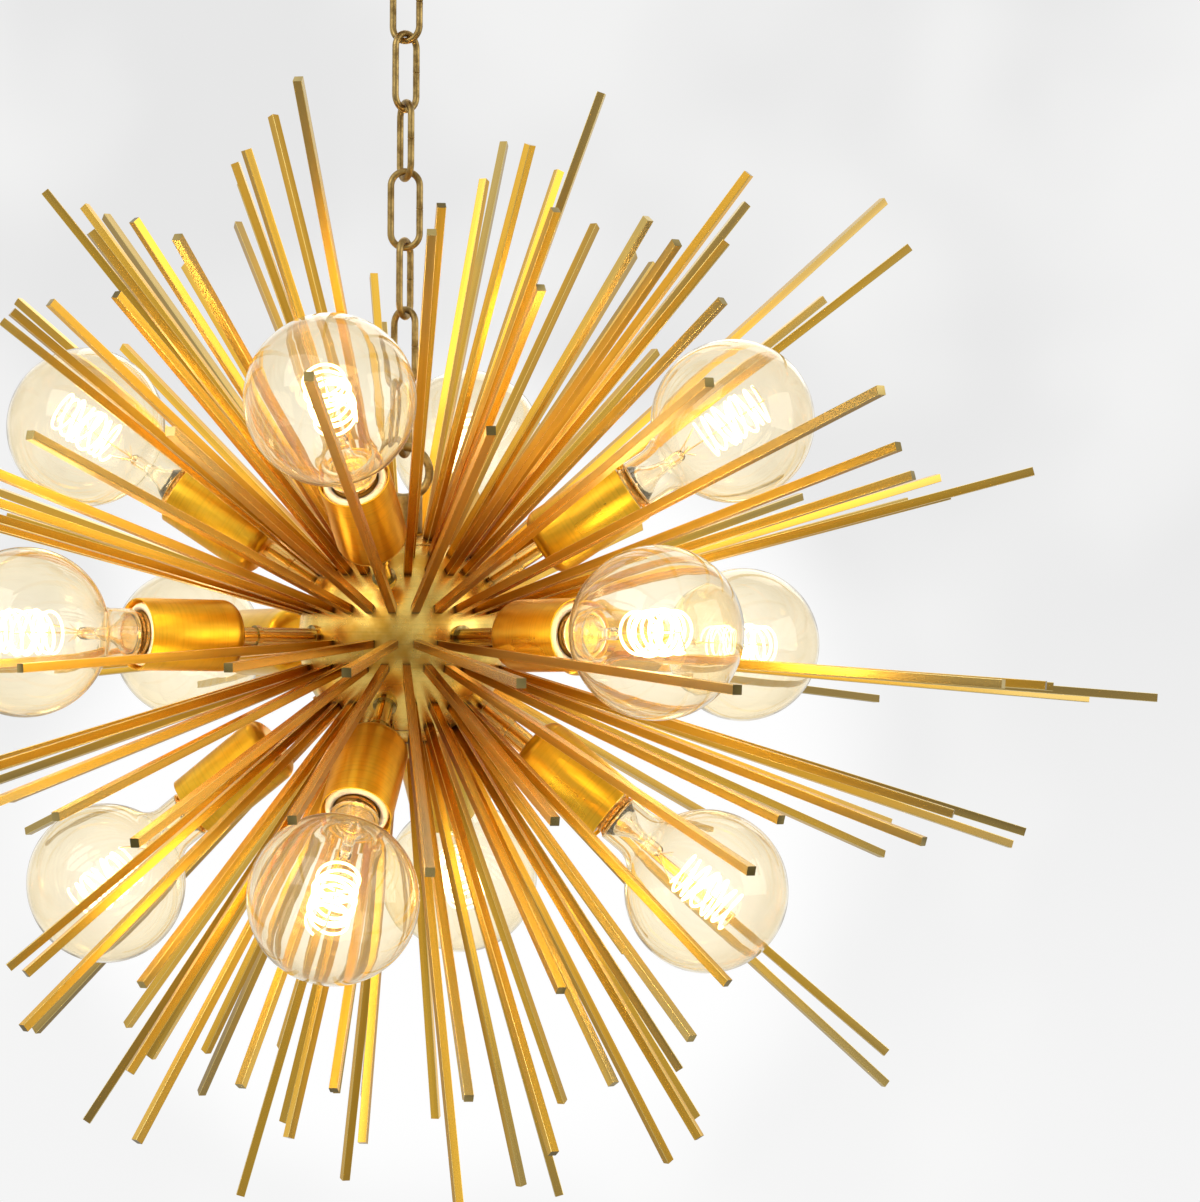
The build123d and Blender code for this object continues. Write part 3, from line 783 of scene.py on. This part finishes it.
def bulb_centre(bulb, outward):
    """The globe's centre, from the box of its glass: its far sides lie a radius beyond it."""
    low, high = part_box(bulb + "_glass")
    near = Vector([high[i] - GLOBE_RADIUS if outward[i] > 0 else low[i] + GLOBE_RADIUS
                   for i in range(3)])
    return BALL + outward * (near - BALL).dot(outward)


def lamp_matrix(bulb, outward):
    """Places a lamp's own frame: +Z away from the ball, +X level."""
    level = Vector((0, 0, 1)).cross(outward).normalized()
    upward = outward.cross(level)
    turn = Matrix((level, upward, outward)).transposed().to_4x4()
    return Matrix.Translation(bulb_centre(bulb, outward)) @ turn


GLOBE, CAP, CONTACT, FOOT = globe_mesh(), cap_mesh(), contact_mesh(), foot_mesh()
COIL, SUPPORTS = filament_mesh(), support_mesh()
CUP, HOLDER = cup_mesh(), holder_mesh()

rings_done = set()
for number, (bulb, outward) in enumerate(LAMP_AXES.items()):
    matrix = lamp_matrix(bulb, outward)
    spun = matrix @ Matrix.Rotation(BULB_TURN * number, 4, "Z")
    place(bulb + "_globe", GLOBE, GLASS, matrix, bulb, [bulb + "_glass"])
    place(bulb + "_cap", CAP, CAP_BRASS, spun, bulb, [bulb + "_base"])
    place(bulb + "_contact", CONTACT, VITRITE, spun, bulb)
    place(bulb + "_foot", FOOT, FOOT_GLASS, spun, bulb)
    place(bulb + "_coil", COIL, GLOW, spun, bulb)
    place(bulb + "_supports", SUPPORTS, WIRE, spun, bulb)
    ring = bulb.split("_")[1]
    new = ring not in rings_done
    rings_done.add(ring)
    place(bulb + "_cup", CUP, CUP_BRASS, matrix, "chandelier",
          ["socket_cups_" + ring] if new else ())
    place(bulb + "_holder", HOLDER, PORCELAIN, matrix, "chandelier",
          ["lampholders_" + ring] if new else ())
    glow = bpy.data.lights.new(bulb + "_light", "POINT")
    glow.energy = BULB_WATTS
    glow.color = BULB_LIGHT
    glow.shadow_soft_size = BULB_LIGHT_SIZE
    lamp = bpy.data.objects.new(bulb + "_light", glow)
    bpy.context.scene.collection.objects.link(lamp)
    lamp.matrix_world = matrix
    lamp.parent = frame["bodies"][bulb]
    lamp.visible_camera = False
    lamp.visible_transmission = False

# ---------------------------------------------------------------- camera


def camera():
    """The photograph's camera: level but for a slight upward tilt and roll."""
    ahead = Vector((0, cos(CAMERA_TILT), sin(CAMERA_TILT)))
    level_up = Vector((0, -sin(CAMERA_TILT), cos(CAMERA_TILT)))
    right = Vector((cos(CAMERA_ROLL), 0, 0)) + level_up * sin(CAMERA_ROLL)
    up = right.cross(ahead)
    data = bpy.data.cameras.new("camera")
    data.sensor_fit = "HORIZONTAL"
    data.sensor_width = SENSOR_WIDTH
    data.lens = FOCAL_PIXELS / PHOTO_WIDTH * SENSOR_WIDTH
    data.shift_x = (PHOTO_WIDTH / 2 - BALL_PIXEL[0]) / PHOTO_WIDTH
    data.shift_y = (BALL_PIXEL[1] - PHOTO_HEIGHT / 2) / PHOTO_WIDTH
    data.clip_start, data.clip_end = 0.1, 60
    view = bpy.data.objects.new("camera", data)
    bpy.context.scene.collection.objects.link(view)
    turn = Matrix((right, up, -ahead)).transposed().to_4x4()
    view.matrix_world = Matrix.Translation(BALL - ahead * CAMERA_DISTANCE) @ turn
    bpy.context.scene.camera = view


camera()

# ---------------------------------------------------------------- lights and surroundings

FLOOR_HEIGHT = -2.4
FLOOR_SIZE = 5.0
FLOOR_PALE = grey(0.86)

BACKDROP_ABOVE = grey(0.80)
BACKDROP_BELOW = grey(0.91)
CLOUD = (0.96, 0.96, 0.955, 1)
HALO_DIRECTION = (0.0156, 1, -0.0167)
ROOM_LIGHT = 0.5


def area_light(name, place_at, size, watts, colour):
    """A square softbox that faces the ball, placed from the ball's centre."""
    data = bpy.data.lights.new(name, "AREA")
    data.size, data.energy, data.color = size, watts, colour
    light = bpy.data.objects.new(name, data)
    bpy.context.scene.collection.objects.link(light)
    light.location = BALL + Vector(place_at)
    light.rotation_euler = (-Vector(place_at)).to_track_quat("-Z", "Y").to_euler()


area_light("key", (-1.6, -1.8, 1.6), size=2.0, watts=22, colour=(1.0, 0.96, 0.90))
area_light("side", (2.2, -0.8, 0.5), size=1.6, watts=12, colour=(1.0, 0.95, 0.88))
area_light("back", (0.5, 2.0, 1.6), size=2.0, watts=9, colour=(1.0, 0.98, 0.95))

half = FLOOR_SIZE / 2
corners = [(-half, -half, 0), (half, -half, 0), (half, half, 0), (-half, half, 0)]
floor_mesh = bpy.data.meshes.new("floor")
floor_mesh.from_pydata(corners, [], [(0, 1, 2, 3)])
floor = bpy.data.objects.new("floor", floor_mesh)
bpy.context.scene.collection.objects.link(floor)
floor.location = (0, 0, FLOOR_HEIGHT)
floor_shader = Shader("floor_pale")
floor_shader.set(Base_Color=FLOOR_PALE, Roughness=0.7)
floor_mesh.materials.append(floor_shader.material)


def surroundings():
    """What is seen is a pale cloudy backdrop, brighter behind the ball; what metal reflects
    is a studio that is pale behind and above and dimmer in front and below."""
    s = Shader("studio")
    world = bpy.data.worlds.new("studio")
    bpy.context.scene.world = world
    world.use_nodes = True
    s.tree = world.node_tree
    s.tree.nodes.clear()
    bpy.data.materials.remove(s.material)
    towards = s.coordinates("Generated")
    clouds = s.noise(towards, 13.0, 2.0, 0.4)
    depth = s.add("SeparateXYZ", {0: towards}, out="Y")
    height = s.add("SeparateXYZ", {0: towards}, out="Z")
    lower = s.span(height, -0.11, 0.12, 1.0, 0.0)
    pale = s.mix(lower, BACKDROP_ABOVE, BACKDROP_BELOW)
    pale = s.mix(s.span(clouds, 0.42, 0.70, 0.0, 0.55), pale, CLOUD)
    nearness = s.vector("DOT_PRODUCT", towards, HALO_DIRECTION, out="Value")
    nearness = s.math("ADD", nearness, s.math("MULTIPLY", clouds, 0.003))
    halo = s.span(nearness, 0.9960, 0.9990)
    pale = s.mix(halo, pale, grey(1))
    behind = s.span(depth, -0.7, 0.5, 0.62, 1.0)
    above = s.span(height, -0.8, 0.6, 0.62, 1.0)
    flags = s.span(s.noise(towards, 2.4, 1.0), 0.38, 0.62, 0.62, 1.22)
    studio = s.math("MULTIPLY", s.math("MULTIPLY", behind, above), flags)
    glossy = s.add("LightPath", out="Is Glossy Ray")
    seen = s.math("MAXIMUM", s.add("LightPath", out="Is Camera Ray"),
                  s.add("LightPath", out="Is Transmission Ray"))
    plain = s.add("Background", {"Color": grey(1), "Strength": ROOM_LIGHT})
    reflected = s.add("Background", {"Color": grey(1), "Strength": studio})
    backdrop = s.add("Background", {"Color": pale, "Strength": 1.0})
    light = s.add("MixShader", {0: glossy, 1: plain, 2: reflected})
    light = s.add("MixShader", {0: seen, 1: light, 2: backdrop})
    output = s.tree.nodes.new("ShaderNodeOutputWorld")
    s.put(output.inputs["Surface"], light)


surroundings()
bpy.context.scene.view_settings.view_transform = "Standard"
